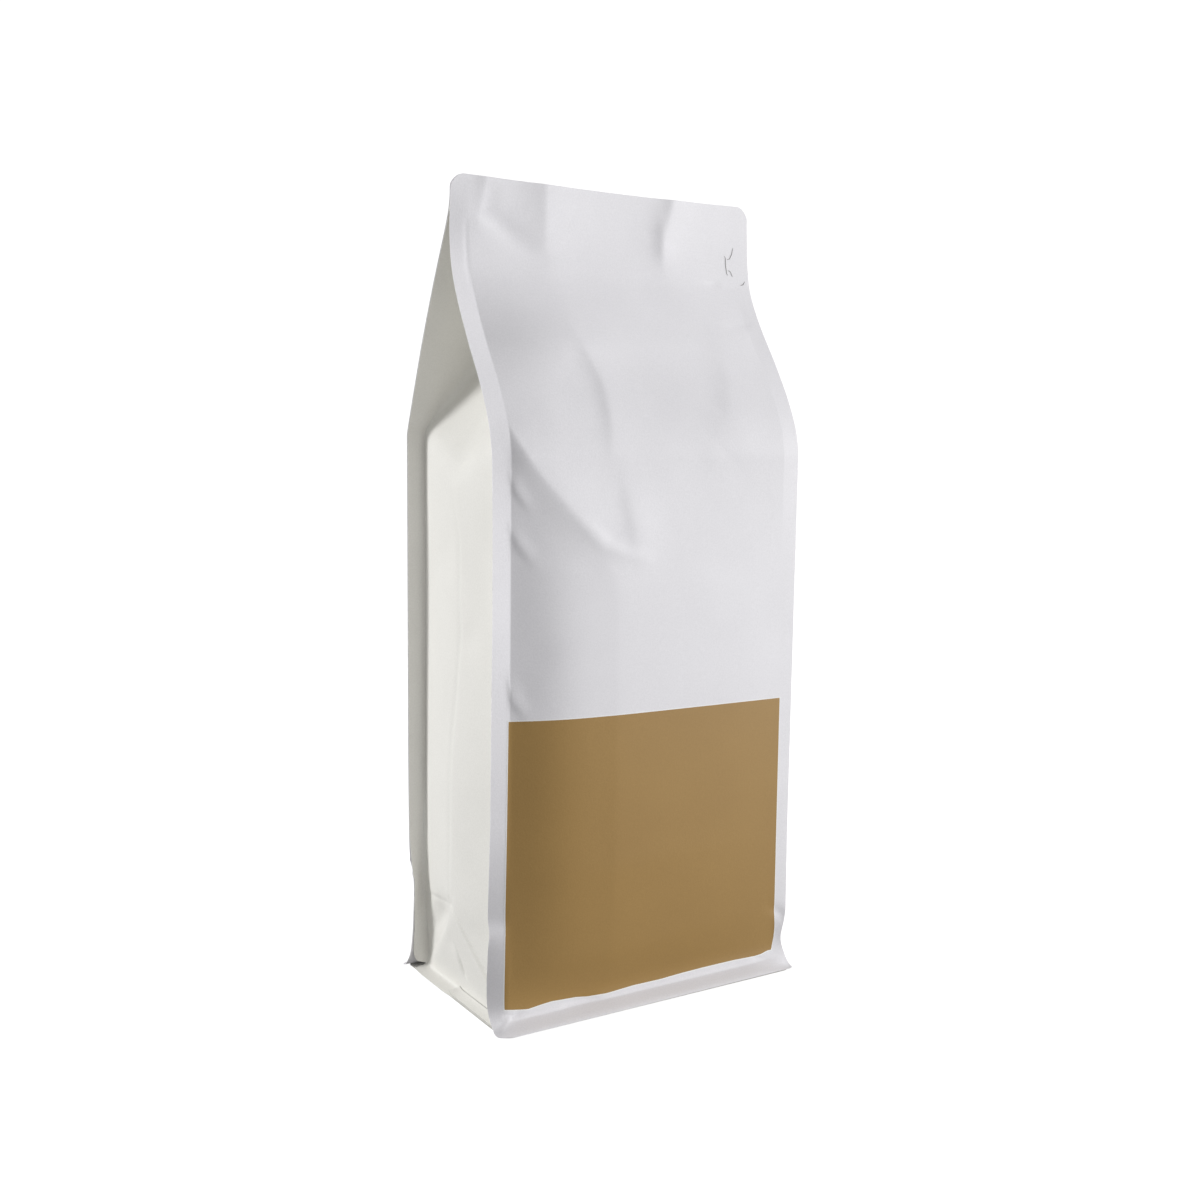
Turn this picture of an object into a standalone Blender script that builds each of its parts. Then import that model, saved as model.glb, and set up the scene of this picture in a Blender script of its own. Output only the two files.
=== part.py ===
"""A filled, heat-sealed, flat-bottomed coffee pouch, standing upright.

The pouch is one closed solid, lofted from horizontal sections whose left and right halves match:
the front and back sheets stand out past the side gussets as flat fins, the gussets fold inwards
under the sloping shoulders, and a seal skirt runs round the foot. +X is the pouch's right as seen
from the front, -Y is the front, and the origin is the middle of the footprint.
"""

import math

import bmesh
import bpy

# Driving dimensions, metres
OUTER_WIDTH = 0.145
OUTER_DEPTH = 0.091
HEIGHT = 0.3275
FIN_WIDTH = 0.008
FOOT_FLARE = 0.008
FILM = 0.0007
SLIT = 0.0004
SEAM_X = OUTER_WIDTH / 2 - FIN_WIDTH
SEAM_Y = OUTER_DEPTH / 2 - FOOT_FLARE

# The shoulders: the front sheet bends over in an S, and the back sheet breaks and slopes straight
FRONT_BEND_FOOT = 0.222
FRONT_BEND_TOP = 0.300
BACK_BREAK = 0.229
BACK_MEET = 0.314
TOP_CORNER_RADIUS = 0.0055
TOP_TURN = math.radians(2.5)
TOP_TURN_FOOT = 0.262

# How far the filled walls stand proud of their seams, as (height, bulge) pairs up the pouch
FRONT_CROWN = [(0.008, 0.0), (0.022, 0.0042), (0.060, 0.0068), (0.200, 0.0070), (0.245, 0.0052), (0.300, 0.0)]
BACK_CROWN = [(0.008, 0.0), (0.022, 0.0040), (0.060, 0.0062), (0.200, 0.0062), (0.245, 0.0045), (0.312, 0.0)]
SIDE_CROWN = [(0.040, 0.0073), (0.095, 0.0066), (0.120, 0.0048), (0.164, 0.0026), (0.214, 0.0048)]
CROWN_POWER = 2.4

# The gusset roof: a V-shaped fold across the side wall, and above it the wall leans in between the sheets
ROOF_FOLD_MIDDLE = 0.214
ROOF_FOLD_EDGE = 0.230
ROOF_PLAIN = 0.255
ROOF_IN = [(ROOF_FOLD_EDGE, 0.0), (ROOF_PLAIN, 0.0192), (0.292, 0.0375)]

# The foot: a coved skirt at front and back, a flat strip at the sides, and a triangle of folds above it
SKIRT_THICKNESS = 0.0009
COVE_RADIUS = 0.0060
FOOT_CORNER_RADIUS = 0.0060
STRIP_WIDTH = 0.0064
FOLD_PEAK = 0.0395

# The printed field on the front
PRINT_FOOT = 0.008
PRINT_TOP = 0.1205

# How many points each stretch of a section has
PANEL_STEPS = 9
CORNER_STEPS = 4
WALL_STEPS = 3
CREASE_SHARE = 0.12
NEAR = 1e-6


def along(table, height):
    """The value at a height, on straight lines between the (height, value) pairs of a table."""
    if height <= table[0][0]:
        return table[0][1]
    for (low, a), (high, b) in zip(table, table[1:]):
        if height <= high:
            return a + (b - a) * (height - low) / (high - low)
    return table[-1][1]


def eased(share):
    """A smooth step from 0 to 1."""
    share = min(1.0, max(0.0, share))
    return share * share * (3 - 2 * share)


def in_skirt(height):
    """Whether a height is in the flat plate of the foot."""
    return height <= SKIRT_THICKNESS + NEAR


def skirt_reach(height):
    """How far the coved foot of a sheet reaches out past its seam."""
    if in_skirt(height):
        return FOOT_FLARE
    below_top = COVE_RADIUS - min(COVE_RADIUS, height - SKIRT_THICKNESS)
    return COVE_RADIUS - math.sqrt(COVE_RADIUS**2 - below_top**2)


def front_line(height):
    """Distance of the front fins' outer face in front of the middle plane."""
    closed = SLIT / 2 + FILM
    share = (height - FRONT_BEND_FOOT) / (FRONT_BEND_TOP - FRONT_BEND_FOOT)
    return closed + (SEAM_Y - closed) * (1 - eased(share)) + skirt_reach(height)


def back_line(height):
    """Distance of the back fins' outer face behind the middle plane."""
    closed = SLIT / 2 + FILM
    share = min(1.0, max(0.0, (height - BACK_BREAK) / (BACK_MEET - BACK_BREAK)))
    return closed + (SEAM_Y - closed) * (1 - share) + skirt_reach(height)


def rounded_off(radius, over):
    """How far an edge draws in, at a distance past the start of its rounded corner."""
    return radius - math.sqrt(radius**2 - max(0.0, over) ** 2)


def fin_edge(height):
    """Half-width of the sheets, which have rounded corners at the top and in the coved foot."""
    edge = OUTER_WIDTH / 2 - rounded_off(TOP_CORNER_RADIUS, height - HEIGHT + TOP_CORNER_RADIUS)
    if in_skirt(height):
        return edge
    return edge - rounded_off(FOOT_CORNER_RADIUS, skirt_reach(height) - FOOT_FLARE + FOOT_CORNER_RADIUS)


def wall_crown(share, height):
    """How far a gusset stands out. share runs from 0 at its middle crease to 1 at the seam."""
    if height < FOLD_PEAK:
        fold = 1 - height / FOLD_PEAK
        inside = min(1.0, (1 - share) / max(1 - fold, NEAR))
        return SIDE_CROWN[0][1] * inside * height / FOLD_PEAK
    return along(SIDE_CROWN, height) * (1 - 0.5 * share - 0.5 * share**2)


def wall_reach(share, height):
    """Distance of the gusset from the middle plane, with its foot strip, its crown and its leaning roof."""
    if in_skirt(height):
        return SEAM_X + STRIP_WIDTH
    fold = ROOF_FOLD_MIDDLE + (ROOF_FOLD_EDGE - ROOF_FOLD_MIDDLE) * share
    if height <= fold:
        return SEAM_X + wall_crown(share, height)
    if height >= ROOF_PLAIN:
        return SEAM_X - along(ROOF_IN, height)
    start = wall_crown(share, fold)
    risen = (height - fold) / (ROOF_PLAIN - fold)
    return SEAM_X + start - (along(ROOF_IN, ROOF_PLAIN) + start) * risen


def panel_points(line, crown, height):
    """A sheet's outer face from its middle to the left seam, as (x, distance from the middle plane)."""
    shares = [math.sin(step / PANEL_STEPS * math.pi / 2) for step in range(PANEL_STEPS + 1)]
    return [(-SEAM_X * s, line + along(crown, height) * (1 - s**CROWN_POWER)) for s in shares]


def edge_points(line, height):
    """A sheet's outer face from the seam out to the fin's edge, or round the corner of the foot's plate."""
    edge = fin_edge(height)
    shares = [step / CORNER_STEPS for step in range(CORNER_STEPS + 1)]
    if not in_skirt(height):
        return [(-edge + FIN_WIDTH * (1 - s) / 2, line) for s in shares]
    radius = FOOT_CORNER_RADIUS
    turns = [s * math.pi / 2 for s in shares]
    return [(-edge + radius * (1 - math.sin(a)), line - radius * (1 - math.cos(a))) for a in turns]


def inner_points(line, crown, height):
    """A sheet's inner face from the fin's edge to the gusset's fold."""
    root = wall_reach(1.0, height)
    if in_skirt(height):
        return [(-fin_edge(height), SEAM_Y)] + [(-root, SEAM_Y - FILM)] * WALL_STEPS
    points = [(-fin_edge(height), line - FILM)]
    for step in range(WALL_STEPS):
        x = SEAM_X + (root - SEAM_X) * step / (WALL_STEPS - 1)
        puffed = along(crown, height) * (1 - min(1.0, x / SEAM_X) ** CROWN_POWER)
        points.append((-x, line - FILM + puffed))
    return points


def half_sheet(line, crown, height):
    """A sheet's points from the middle of its face round the fin to the gusset's fold."""
    return panel_points(line, crown, height) + edge_points(line, height) + inner_points(line, crown, height)


def wall_shares(height):
    """Where a gusset's points stand between seam and middle. Low down they follow the folded triangle."""
    even = (WALL_STEPS - 1) / WALL_STEPS
    fold = max(CREASE_SHARE, 1 - height / FOLD_PEAK)
    fold += (even - fold) * eased((height - FOLD_PEAK) / FOLD_PEAK)
    outer = [1 - (1 - fold) * step / WALL_STEPS for step in range(1, WALL_STEPS + 1)]
    return outer + [fold / 2]


def half_section(height):
    """The left half of the pouch's outline at a height, from the front's middle round to the back's."""
    front = half_sheet(front_line(height), FRONT_CROWN, height)
    back = half_sheet(back_line(height), BACK_CROWN, height)
    front_fold = -front[-1][1]
    back_fold = back[-1][1]
    middle = (front_fold + back_fold) / 2
    shares = wall_shares(height)
    outline = [(x, -y) for x, y in front]
    outline += [(-wall_reach(s, height), middle + (front_fold - middle) * s) for s in shares]
    outline.append((-wall_reach(0.0, height), middle))
    outline += [(-wall_reach(s, height), middle + (back_fold - middle) * s) for s in reversed(shares)]
    return outline + list(reversed(back))


def section(height):
    """The whole outline at a height. The flat sealed top is turned a little about the pouch's own axis."""
    left = half_section(height)
    right = [(-x, y) for x, y in left[-2:0:-1]]
    turn = TOP_TURN * max(0.0, (height - TOP_TURN_FOOT) / (HEIGHT - TOP_TURN_FOOT))
    c, s = math.cos(turn), math.sin(turn)
    return [(x * c - y * s, x * s + y * c, height) for x, y in left + right]


def levels():
    """The heights of the sections: close together at the foot, the shoulders and the top."""
    cove = [SKIRT_THICKNESS + COVE_RADIUS * (1 - math.cos(math.radians(a))) for a in (12, 30, 45, 60, 75, 90)]
    foot = [0.0, SKIRT_THICKNESS] + cove + [PRINT_FOOT, 0.010, 0.014, 0.020, 0.029, FOLD_PEAK]
    body = [0.050, 0.070, 0.095, PRINT_TOP, 0.142, 0.164, 0.185, 0.200, ROOF_FOLD_MIDDLE, FRONT_BEND_FOOT]
    shoulder = [BACK_BREAK, ROOF_FOLD_EDGE, 0.236, 0.242, 0.2485, ROOF_PLAIN, TOP_TURN_FOOT, 0.270, 0.278]
    seal = [0.285, 0.292, FRONT_BEND_TOP, 0.307, BACK_MEET]
    corner = [HEIGHT - TOP_CORNER_RADIUS * (1 - math.sin(math.radians(a))) for a in (0, 25, 50, 72, 90)]
    return foot + body + shoulder + seal + corner


def film_material(name, colour, roughness):
    """A plain dielectric film."""
    material = bpy.data.materials.new(name)
    material.use_nodes = True
    shader = material.node_tree.nodes["Principled BSDF"]
    shader.inputs["Base Color"].default_value = (*colour, 1.0)
    shader.inputs["Roughness"].default_value = roughness
    shader.inputs["Metallic"].default_value = 0.0
    material.diffuse_color = (*colour, 1.0)
    return material


def film_of(step, steps, low, high):
    """Which film a face takes: 0 the sheets' own, 1 the gussets', 2 the printed field of the front."""
    step = min(step, steps - 1 - step)
    half = steps // 2
    sheet = PANEL_STEPS + CORNER_STEPS + 1 + WALL_STEPS
    if step < PANEL_STEPS and low > PRINT_FOOT - NEAR and high < PRINT_TOP + NEAR:
        return 2
    return 1 if sheet < step < half - 1 - sheet else 0


def lofted_solid():
    """The solid: sections joined by quads and closed at the foot and the top."""
    mesh = bmesh.new()
    heights = levels()
    rings = [[mesh.verts.new(point) for point in section(height)] for height in heights]
    steps = len(rings[0])
    for level in range(len(rings) - 1):
        low, high = rings[level], rings[level + 1]
        for i in range(steps):
            j = (i + 1) % steps
            face = mesh.faces.new((low[i], high[i], high[j], low[j]))
            face.material_index = film_of(i, steps, heights[level], heights[level + 1])
            face.smooth = True
    mesh.faces.new(rings[0])
    mesh.faces.new(reversed(rings[-1]))
    bmesh.ops.remove_doubles(mesh, verts=mesh.verts, dist=NEAR)
    bmesh.ops.dissolve_degenerate(mesh, edges=mesh.edges, dist=NEAR)
    data = bpy.data.meshes.new("bag")
    mesh.to_mesh(data)
    mesh.free()
    data.set_sharp_from_angle(angle=math.radians(30))
    return data


def build():
    """Clears the scene and adds the pouch."""
    for old in list(bpy.data.objects):
        bpy.data.objects.remove(old, do_unlink=True)
    collection = bpy.data.collections.new("coffee_bag")
    bpy.context.scene.collection.children.link(collection)
    data = lofted_solid()
    data.materials.append(film_material("cool_white_film", (0.80, 0.80, 0.83), 0.55))
    data.materials.append(film_material("warm_white_film", (0.80, 0.79, 0.74), 0.60))
    data.materials.append(film_material("printed_tan_film", (0.36, 0.23, 0.10), 0.50))
    collection.objects.link(bpy.data.objects.new("bag", data))


build()
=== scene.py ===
import math

import bmesh
import bpy
import numpy as np
from mathutils import Matrix, Vector
from mathutils.bvhtree import BVHTree


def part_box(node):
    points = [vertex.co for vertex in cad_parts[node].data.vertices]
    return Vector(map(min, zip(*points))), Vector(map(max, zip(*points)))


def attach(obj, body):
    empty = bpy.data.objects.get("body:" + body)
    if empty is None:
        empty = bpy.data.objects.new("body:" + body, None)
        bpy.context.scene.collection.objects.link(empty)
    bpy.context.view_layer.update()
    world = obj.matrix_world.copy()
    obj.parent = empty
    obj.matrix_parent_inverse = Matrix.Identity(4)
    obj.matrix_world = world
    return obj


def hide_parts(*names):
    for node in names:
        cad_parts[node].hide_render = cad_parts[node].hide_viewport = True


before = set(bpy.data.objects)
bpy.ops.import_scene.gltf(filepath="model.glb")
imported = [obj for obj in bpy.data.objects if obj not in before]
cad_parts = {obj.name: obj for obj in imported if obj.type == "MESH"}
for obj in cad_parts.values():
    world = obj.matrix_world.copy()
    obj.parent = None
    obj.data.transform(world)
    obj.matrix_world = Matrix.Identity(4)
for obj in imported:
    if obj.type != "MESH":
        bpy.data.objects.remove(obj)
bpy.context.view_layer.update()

# The front sheet. It is laminated paper-white film, matte, and it stands out past the gussets as two
# flat fins. It is sealed to the gussets at its sides, to the bottom panel in a coved skirt at its foot
# and to the back sheet along its top, and the beans push its middle out.
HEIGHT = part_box("bag")[1][2]
HALF_WIDTH = 0.0725
SEAM_X = 0.0645
SEAM_Y = 0.0375
SKIRT_REACH = 0.0455
PLATE_HEIGHT = 0.0006
CROWN_POWER = 2.4
CAGE_LEVELS = 3
TOP_CORNER = 0.0055
FOOT_CORNER = 0.0065
FOOT_CORNER_TOP = 0.006
FRONT_CORNERS = (FOOT_CORNER, 0.0020)
TOP_TURN = math.radians(2.5)
TOP_TURN_FOOT = 0.262
MEET_GAP = 0.0006
BLUR = 0.0025
BLUR_STEPS = np.linspace(-1.5, 1.5, 13)
PRESS_END = 0.04

SHEET_COLUMNS = [0.0, 0.010, 0.020, 0.030, 0.040, 0.049, 0.0565, 0.0615, 0.0645, 0.0662, HALF_WIDTH]
FOOT_ROWS = [(SKIRT_REACH, PLATE_HEIGHT), (0.0438, PLATE_HEIGHT), (0.0416, 0.0012), (0.0396, 0.0032),
             (0.0382, 0.0060)]
FRONT_HEIGHTS = [0.0095, 0.0140, 0.0190, 0.0240, 0.0285, 0.0330, 0.0400, 0.050, 0.064, 0.082, 0.100, 0.116,
                 0.1265, 0.137, 0.153, 0.170, 0.183, 0.194, 0.204, 0.213, 0.222, 0.2315, 0.241, 0.251, 0.261,
                 0.271, 0.281, 0.291, 0.301, 0.3115, 0.3205, HEIGHT]
FRONT_CROWN = [(0.008, 0.0), (0.022, 0.0034), (0.060, 0.0052), (0.110, 0.0052), (0.170, 0.0050),
               (0.196, 0.0044), (0.213, 0.0026), (0.230, 0.0012), (0.241, 0.0012), (0.249, 0.0014),
               (0.257, 0.0030), (0.266, 0.0060), (0.276, 0.0047), (0.284, 0.0026), (0.292, 0.0008),
               (0.300, 0.0)]
FRONT_BEND = (0.220, 0.303)
FRONT_LEFT_TIP = [(0.003, 0.0), (0.0095, 0.0026), (0.0170, 0.0033), (0.0290, 0.0024), (0.0350, 0.0022),
                  (0.0395, 0.0002), (0.0440, 0.0024), (0.052, 0.0021), (0.082, 0.0004), (0.124, -0.0002),
                  (0.160, -0.0009), (0.196, -0.0008), (0.228, 0.0001), (0.241, -0.0003), (0.273, -0.0007),
                  (0.292, -0.0003), (0.308, 0.0009), (0.328, 0.0)]
FRONT_RIGHT_TIP = [(0.003, 0.0), (0.0095, -0.0004), (0.0190, -0.0009), (0.0285, 0.0), (0.060, 0.0005),
                   (0.215, 0.0006), (0.241, 0.0005), (0.266, 0.0), (0.328, 0.0)]
FLANGE_START = 0.0384
FLANGE_HEIGHT = 0.0036
FLANGE_ROUNDING = 0.7
FLANGE_ENDS = 0.0715
FLANGE_END_POWER = 10
FLANGE_FADE = (0.0040, 0.0062)
FLANGE_SLANT = 0.0009
FLANGE_SLANT_TOP = 0.008
FIN_NIP = 0.0027
FIN_NIP_AT = 0.0130
FIN_NIP_SPREAD = 0.0075
FIN_LAYERS_START = -0.030
TOP_SAG = 0.0008

# Grooves, and ridges with a minus depth, as (path, depth, width, lean, power). These wrinkles go through
# every layer of the seal: facets at the left, and small ones right of the middle.
SEAL_WRINKLES = [
    ([(-0.0572, 0.356), (-0.0576, 0.326), (-0.0602, 0.3110)], -0.0009, 0.0064, 0.4, 1.6),
    ([(-0.0310, 0.354), (-0.0312, 0.322), (-0.0308, 0.3085), (-0.0302, 0.2970)], -0.0017, 0.0170, 0.30, 1.2),
    ([(-0.0560, 0.330), (-0.0570, 0.3145), (-0.0450, 0.3060), (-0.0330, 0.2990)], 0.0005, 0.0045, 0.0, 2.0),
    ([(0.0318, 0.354), (0.0314, 0.3255), (0.0280, 0.3150), (0.0266, 0.3090)], -0.0011, 0.0090, 0.5, 1.3),
    ([(0.0255, 0.3190), (0.0262, 0.3110), (0.0266, 0.2990)], -0.0007, 0.0060, 0.4, 1.3)]

BANK_BORDER = [(0.0, -0.0200), (0.060, -0.0210), (0.136, -0.0235), (0.176, -0.0250), (0.1860, -0.0290),
               (0.1929, -0.0338), (0.2067, -0.0458), (0.2131, -0.0518), (0.2197, -0.0575), (0.2310, -0.0635)]
BANK_CRISPNESS = [(0.178, 0.0), (0.200, 1.0)]
BANK_ROUNDING = 0.4
SHOULDER_WIDTH = [(0.230, 0.020), (0.250, 0.022), (0.264, 0.036), (0.300, 0.042)]
SHOULDER_POWER = 1.6
SHOULDER_BLEND = [(0.2215, 0.0), (0.2345, 1.0)]
RIGHT_START = [(0.0, -0.020), (0.172, -0.020), (0.190, -0.030), (0.206, -0.043), (0.222, -0.050),
               (0.300, -0.050)]
RIGHT_BLUR = 0.004
RIGHT_POWER = 1.15
HELD_HEIGHTS = [(0.030, 0.0), (0.050, 1.0), (0.290, 1.0), (0.300, 0.0)]

# In the same form: the fold below the shoulder, its soft lower part, the tail of the bank's crisp fold and
# its crest, then three puckers of the left seam, a broad fold of the shoulder's right half, the sealed left
# edge, the closing strip at the right and the dents of the foot.
FRONT_CREASES = [
    ([(-0.0262, 0.2690), (-0.0228, 0.2600), (-0.0192, 0.2500), (-0.0200, 0.2363), (-0.0212, 0.2240)],
     -0.0007, 0.0070, 0.5, 1.4),
    ([(-0.0150, 0.2120), (-0.0128, 0.2020), (-0.0085, 0.1840)], -0.0004, 0.0070, 0.4),
    ([(-0.0360, 0.1970), (-0.0256, 0.1877), (-0.0173, 0.1843), (-0.0070, 0.1825)], -0.0004, 0.0030),
    ([(-0.0620, 0.2270), (-0.0575, 0.2197), (-0.0458, 0.2067), (-0.0338, 0.1929), (-0.0240, 0.1850)],
     -0.0007, 0.0110, 0.4, 1.6),
    ([(-0.0648, 0.2150), (-0.0626, 0.2085), (-0.0580, 0.2030)], -0.0004, 0.0021, 0.5),
    ([(-0.0648, 0.1955), (-0.0618, 0.1890), (-0.0565, 0.1830)], -0.0005, 0.0025, 0.5),
    ([(-0.0650, 0.1375), (-0.0636, 0.1300), (-0.0585, 0.1240)], -0.0005, 0.0025, 0.5),
    ([(0.0465, 0.264), (0.0440, 0.250), (0.0390, 0.236), (0.0290, 0.225)], -0.0006, 0.0130, 0.5),
    ([(-0.0658, 0.3110), (-0.0657, 0.3000), (-0.0654, 0.2860)], 0.00012, 0.0011),
    ([(0.0490, 0.2935), (0.0560, 0.2938)], 0.0003, 0.0009),
    ([(0.0520, 0.2752), (0.0660, 0.2765)], 0.0004, 0.0012),
    ([(-0.0665, 0.0064), (-0.0625, 0.0058), (-0.0590, 0.0064)], 0.0004, 0.0008),
    ([(-0.0630, 0.0066), (-0.0665, 0.0040), (-0.0700, 0.0012)], -0.0002, 0.0008),
    ([(-0.0400, 0.0052), (-0.0314, 0.0056), (-0.0240, 0.0050)], 0.0006, 0.0014),
    ([(0.0540, 0.0062), (0.0600, 0.0050), (0.0655, 0.0040)], 0.0003, 0.0009),
    ([(0.0640, 0.0270), (0.0690, 0.0240), (0.0730, 0.0200)], 0.0004, 0.0022)]
FRONT_DIMPLE = ((-0.0550, 0.147), 0.0003, 0.0080)

COOL_COLOURS = ((0.87, 0.86, 0.89), (0.81, 0.80, 0.83))
COOL_ROUGHNESS = 0.55
FILM_SHEEN = 0.35
TOOTH_SCALE = 1600.0
TOOTH_DETAIL = 3.0
TOOTH_BUMP = 0.2
TOOTH_DEPTH = 0.0002
CLOUD_SCALE = 28.0
CLOUD_DETAIL = 2.0
CLOUD_TOOTH = 0.6
CLOUD_RANGE = (0.36, 0.64)


def along(table, place):
    """The value at a place, on straight lines between the (place, value) pairs of a table."""
    places, values = zip(*table)
    return float(np.interp(place, places, values))


def softly_along(table, places, blur=BLUR):
    """The values at many places, on a soft curve through the pairs of a table."""
    weights = np.exp(-(BLUR_STEPS**2))
    values = [np.interp(places + step * blur, *zip(*table)) for step in BLUR_STEPS]
    return weights @ np.array(values) / weights.sum()


def eased(share):
    """A smooth step from 0 to 1, for one share or an array of them."""
    share = np.clip(share, 0, 1)
    return share * share * (3 - 2 * share)


def turned_top(x, y, z):
    """Where a point of the straight bag goes when its sealed top is turned a little."""
    turn = TOP_TURN * max(0.0, (z - TOP_TURN_FOOT) / (HEIGHT - TOP_TURN_FOOT))
    return x * math.cos(turn) - y * math.sin(turn), x * math.sin(turn) + y * math.cos(turn)


def add_grid(name, width, height, columns, rows, turn=(math.pi / 2, 0, 0), at=(0, 0, 0)):
    """Adds a grid and opens it in edit mode. Gives it with its lines of points, as lines[row][column]."""
    bpy.ops.object.select_all(action="DESELECT")
    bpy.ops.mesh.primitive_grid_add(x_subdivisions=columns - 1, y_subdivisions=rows - 1, size=1,
                                    location=at, rotation=turn)
    piece = bpy.context.object
    piece.name = name
    piece.data.name = name
    piece.scale = (width, height, 1)
    bpy.ops.object.transform_apply(location=True, rotation=True, scale=True)
    bpy.ops.object.mode_set(mode="EDIT")
    bpy.ops.mesh.select_mode(type="VERT")
    return piece, [list(range(row * columns, (row + 1) * columns)) for row in range(rows)]


def select_points(piece, chosen):
    """Selects the chosen points alone."""
    mesh = bmesh.from_edit_mesh(piece.data)
    mesh.verts.ensure_lookup_table()
    bpy.ops.mesh.select_all(action="DESELECT")
    for index in chosen:
        mesh.verts[index].select_set(True)
    mesh.select_flush_mode()
    bmesh.update_edit_mesh(piece.data)


def slide(piece, chosen, by):
    """Slides the chosen points of a cage."""
    if any(by):
        select_points(piece, chosen)
        bpy.ops.transform.translate(value=by)


def place_of(piece, index):
    """Where a point of a cage is now."""
    mesh = bmesh.from_edit_mesh(piece.data)
    mesh.verts.ensure_lookup_table()
    return mesh.verts[index].co.copy()


def add_modifier(piece, kind, **settings):
    """Adds a modifier with its settings and applies it."""
    bpy.ops.object.select_all(action="DESELECT")
    piece.select_set(True)
    bpy.context.view_layer.objects.active = piece
    modifier = piece.modifiers.new(kind.lower(), kind)
    for name, value in settings.items():
        setattr(modifier, name, value)
    bpy.ops.object.modifier_apply(modifier=modifier.name)


def finish_cage(piece):
    """Makes the soft sheet from its cage."""
    bpy.ops.object.mode_set(mode="OBJECT")
    add_modifier(piece, "SUBSURF", levels=CAGE_LEVELS, render_levels=CAGE_LEVELS)


def points_of(piece):
    """All the points of a piece as an array."""
    flat = np.empty(len(piece.data.vertices) * 3)
    piece.data.vertices.foreach_get("co", flat)
    return flat.reshape(-1, 3)


def move_points(piece, points):
    """Writes the points back after a soft move."""
    piece.data.vertices.foreach_set("co", points.ravel())
    piece.data.update()


def sheet_of(name, side, heights, line, crown, left_tip, right_tip):
    """A front or back sheet. side is -1 at the front and 1 at the back."""
    columns = [-x for x in reversed(SHEET_COLUMNS[1:])] + SHEET_COLUMNS
    rows = FOOT_ROWS + [(line(z), z) for z in heights]
    piece, lines = add_grid(name, 2 * HALF_WIDTH, HEIGHT, len(columns), len(rows))
    for place, x in enumerate(columns):
        column = [row[place] for row in lines]
        slide(piece, column, (x - place_of(piece, column[0]).x, 0, 0))
    crown_most = max(value for _, value in crown)
    for place, x in enumerate(columns):
        share = 1 - min(1.0, abs(x) / SEAM_X) ** CROWN_POWER
        slide(piece, [row[place] for row in lines], (0, side * crown_most * share, 0))
    for row, (y, z) in zip(lines, rows):
        select_points(piece, row)
        bpy.ops.transform.resize(value=(1, along(crown, z) / crown_most, 1), center_override=(0, 0, 0))
        here = place_of(piece, row[0])
        bpy.ops.transform.translate(value=(0, side * y, z - here.z))
        slide(piece, row[:1], (0, along(left_tip, z), 0))
        slide(piece, row[-1:], (0, along(right_tip, z), 0))
    finish_cage(piece)
    return piece


def round_corners(piece, radii):
    """Rounds a sheet's corners: the top ones in the seal, and the foot ones in the skirt's plate.

    radii are the foot's at the left and at the right."""
    points = points_of(piece)
    for point in points:
        x, y, z = point
        depth = math.copysign(1, y)
        radius = radii[x > 0]
        top = Vector((abs(x) - HALF_WIDTH + TOP_CORNER, z - HEIGHT + TOP_CORNER)) / TOP_CORNER
        foot = Vector((abs(x) - HALF_WIDTH + radius, abs(y) - SKIRT_REACH + radius)) / radius
        if top.x > 0 and top.y > 0:
            u, v = min(top.x, 1.0), min(top.y, 1.0)
            point[0] -= math.copysign(u * (1 - math.sqrt(1 - v * v / 2)) * TOP_CORNER, x)
            point[2] -= v * (1 - math.sqrt(1 - u * u / 2)) * TOP_CORNER
        elif foot.x > 0 and foot.y > 0 and z < FOOT_CORNER_TOP:
            u, v = min(foot.x, 1.0), min(foot.y, 1.0)
            point[0] -= math.copysign(u * (1 - math.sqrt(1 - v * v / 2)) * radius, x)
            point[1] -= depth * v * (1 - math.sqrt(1 - u * u / 2)) * radius
    move_points(piece, points)


def roll_flange(piece):
    """Rolls the front's foot flange up into a soft ledge between its flat ends, with a crease behind it."""
    points = points_of(piece)
    x, y, z = points.T
    reach = np.clip((np.abs(y) - FLANGE_START) / (SKIRT_REACH - FLANGE_START), 0, 1)
    middle = 1 - np.clip(np.abs(x) / FLANGE_ENDS, 0, 1) ** FLANGE_END_POWER
    rolled = PLATE_HEIGHT + FLANGE_HEIGHT * (1 - reach) ** FLANGE_ROUNDING
    low = np.interp(z, FLANGE_FADE, (1.0, 0.0)) * (reach > 0)
    slant = FLANGE_SLANT * (x + HALF_WIDTH) / (2 * HALF_WIDTH)
    points[:, 2] += middle * (rolled - z) * low
    points[:, 1] += np.where(z < FLANGE_SLANT_TOP, slant * reach, 0)
    move_points(piece, points)


def nip_fin(piece):
    """Draws the front's right fin in a little above the foot, in all its layers."""
    points = points_of(piece)
    x, y, z = points.T
    nip = FIN_NIP * np.exp(-(((z - FIN_NIP_AT) / FIN_NIP_SPREAD) ** 2)) * (y < FIN_LAYERS_START)
    points[:, 0] -= nip * np.clip((x - SEAM_X) / (HALF_WIDTH - SEAM_X), 0, 1)
    move_points(piece, points)


def turn_top(piece):
    """Creases the sealed top, lets its edge sag a little and turns it about the bag's own axis."""
    for wrinkle in SEAL_WRINKLES:
        press(piece, *wrinkle)
    points = points_of(piece)
    for point in points:
        sag = max(0.0, 1 - (point[0] / HALF_WIDTH) ** 2)
        point[2] -= TOP_SAG * sag * max(0.0, (point[2] - FRONT_BEND[1]) / (HEIGHT - FRONT_BEND[1]))
        point[0], point[1] = turned_top(*point)
    move_points(piece, points)


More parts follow.
